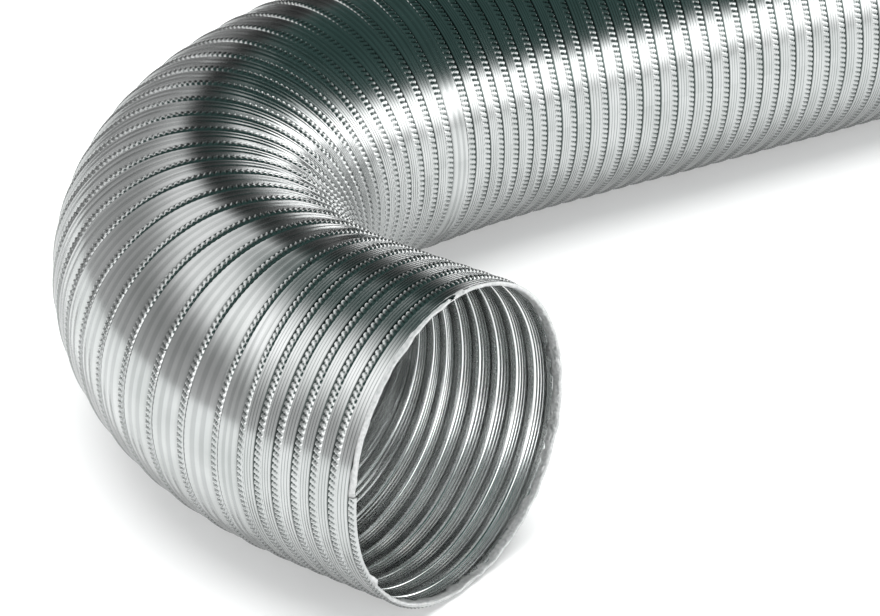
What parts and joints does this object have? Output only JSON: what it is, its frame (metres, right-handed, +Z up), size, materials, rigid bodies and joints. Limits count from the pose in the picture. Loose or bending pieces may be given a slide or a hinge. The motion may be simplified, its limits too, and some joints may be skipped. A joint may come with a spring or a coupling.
{
  "type": "flexible air duct",
  "caption": "Semi-rigid aluminium flexible air duct: a wound corrugated strip with a knurled lock seam, laid with one tight bend and a long straight leg, open at both cut ends.",
  "frame": {"origin": "centre of the near mouth, in the plane of its cut edge", "axes": "+X out of the near mouth along its axis, +Y towards the inside of the bend, +Z up; the duct lies on the plane z = -51.9 mm"},
  "size_m": [0.2271, 0.4983, 0.1038],
  "materials": {
    "strip": "bright rolled strip, lightly brushed and scuffed",
    "cut_edge": "sheared and slightly crumpled strip edge"
  },
  "bodies": {
    "bend_1": {"bend_turns_1": "strip", "bend_flex_1": "strip"},
    "mouth": {"mouth_rim": "cut_edge", "mouth_turns": "strip", "mouth_flex": "strip"},
    "bend_2": {"bend_turns_2": "strip", "bend_flex_2": "strip"},
    "bend_3": {"bend_turns_3": "strip", "bend_flex_3": "strip"},
    "bend_4": {"bend_turns_4": "strip", "bend_flex_4": "strip"},
    "bend_5": {"bend_turns_5": "strip", "bend_flex_5": "strip"},
    "bend_6": {"bend_turns_6": "strip", "bend_flex_6": "strip"},
    "bend_7": {"bend_turns_7": "strip", "bend_flex_7": "strip"},
    "bend_8": {"bend_turns_8": "strip", "bend_flex_8": "strip"},
    "bend_9": {"bend_turns_9": "strip", "bend_flex_9": "strip"},
    "bend_10": {"bend_turns_10": "strip", "bend_flex_10": "strip"},
    "far_1": {"far_turns_1": "strip", "far_flex_1": "strip"},
    "far_2": {"far_turns_2": "strip", "far_flex_2": "strip"},
    "far_3": {"far_turns_3": "strip", "far_flex_3": "strip"},
    "far_4": {"far_turns_4": "strip", "far_flex_4": "strip"},
    "far_5": {"far_turns_5": "strip", "far_flex_5": "strip"},
    "far_end": {"far_end_turns": "strip", "far_rim": "cut_edge"}
  },
  "joints": [
    {"name": "mouth_lift", "type": "hinge", "parent": "bend_1", "child": "mouth", "pos_m": [-0.03285, 0, 0], "axis": [0, -1, 0], "range_deg": [0, 8], "deforming": ["mouth_flex"]},
    {"name": "bend_pivot_1", "type": "hinge", "parent": "bend_1", "child": "bend_2", "pos_m": [-0.06111, 0.00116, 0], "axis": [0, 0, -1], "range_deg": [-10.2, 5], "deforming": ["bend_flex_1"]},
    {"name": "bend_pivot_2", "type": "hinge", "parent": "bend_2", "child": "bend_3", "pos_m": [-0.08365, 0.00626, 0], "axis": [0, 0, -1], "range_deg": [-10.2, 5], "deforming": ["bend_flex_2"]},
    {"name": "bend_pivot_3", "type": "hinge", "parent": "bend_3", "child": "bend_4", "pos_m": [-0.10493, 0.01527, 0], "axis": [0, 0, -1], "range_deg": [-10.2, 5], "deforming": ["bend_flex_3"]},
    {"name": "bend_pivot_4", "type": "hinge", "parent": "bend_4", "child": "bend_5", "pos_m": [-0.12428, 0.02791, 0], "axis": [0, 0, -1], "range_deg": [-10.2, 5], "deforming": ["bend_flex_4"]},
    {"name": "bend_pivot_5", "type": "hinge", "parent": "bend_5", "child": "bend_6", "pos_m": [-0.14109, 0.04377, 0], "axis": [0, 0, -1], "range_deg": [-10.2, 5], "deforming": ["bend_flex_5"]},
    {"name": "bend_pivot_6", "type": "hinge", "parent": "bend_6", "child": "bend_7", "pos_m": [-0.15482, 0.06237, 0], "axis": [0, 0, -1], "range_deg": [-10.2, 5], "deforming": ["bend_flex_6"]},
    {"name": "bend_pivot_7", "type": "hinge", "parent": "bend_7", "child": "bend_8", "pos_m": [-0.16504, 0.0831, 0], "axis": [0, 0, -1], "range_deg": [-10.2, 5], "deforming": ["bend_flex_7"]},
    {"name": "bend_pivot_8", "type": "hinge", "parent": "bend_8", "child": "bend_9", "pos_m": [-0.17143, 0.10531, 0], "axis": [0, 0, -1], "range_deg": [-10.2, 5], "deforming": ["bend_flex_8"]},
    {"name": "bend_pivot_9", "type": "hinge", "parent": "bend_9", "child": "bend_10", "pos_m": [-0.17379, 0.1283, 0], "axis": [0, 0, -1], "range_deg": [-10.2, 5], "deforming": ["bend_flex_9"]},
    {"name": "bend_pivot_10", "type": "hinge", "parent": "bend_10", "child": "far_1", "pos_m": [-0.17204, 0.15134, 0], "axis": [0, 0, -1], "range_deg": [-10.2, 5], "deforming": ["bend_flex_10"]},
    {"name": "far_yaw_1", "type": "hinge", "parent": "far_1", "child": "far_2", "pos_m": [-0.16141, 0.19224, 0], "axis": [0, 0, -1], "range_deg": [-8, 8], "deforming": ["far_flex_1"]},
    {"name": "far_stretch_1", "type": "slide", "parent": "far_2", "child": "far_3", "axis": [0.4175, 0.9087, 0], "range_m": [0, 0.06], "deforming": ["far_flex_2"]},
    {"name": "far_lift", "type": "hinge", "parent": "far_3", "child": "far_4", "pos_m": [-0.11909, 0.2892, 0], "axis": [0.9087, -0.4175, 0], "range_deg": [0, 10], "deforming": ["far_flex_3"]},
    {"name": "far_yaw_2", "type": "hinge", "parent": "far_4", "child": "far_5", "pos_m": [-0.09471, 0.34227, 0], "axis": [0, 0, -1], "range_deg": [-10, 10], "deforming": ["far_flex_4"]},
    {"name": "far_stretch_2", "type": "slide", "parent": "far_5", "child": "far_end", "axis": [0.4175, 0.9087, 0], "range_m": [0, 0.06], "deforming": ["far_flex_5"]}
  ],
  "couplings": [
    {"joint": "bend_pivot_2", "follows": "bend_pivot_1", "ratio": 1},
    {"joint": "bend_pivot_3", "follows": "bend_pivot_1", "ratio": 1},
    {"joint": "bend_pivot_4", "follows": "bend_pivot_1", "ratio": 1},
    {"joint": "bend_pivot_5", "follows": "bend_pivot_1", "ratio": 1},
    {"joint": "bend_pivot_6", "follows": "bend_pivot_1", "ratio": 1},
    {"joint": "bend_pivot_7", "follows": "bend_pivot_1", "ratio": 1},
    {"joint": "bend_pivot_8", "follows": "bend_pivot_1", "ratio": 1},
    {"joint": "bend_pivot_9", "follows": "bend_pivot_1", "ratio": 1},
    {"joint": "bend_pivot_10", "follows": "bend_pivot_1", "ratio": 1},
    {"joint": "far_stretch_2", "follows": "far_stretch_1", "ratio": 1}
  ]
}
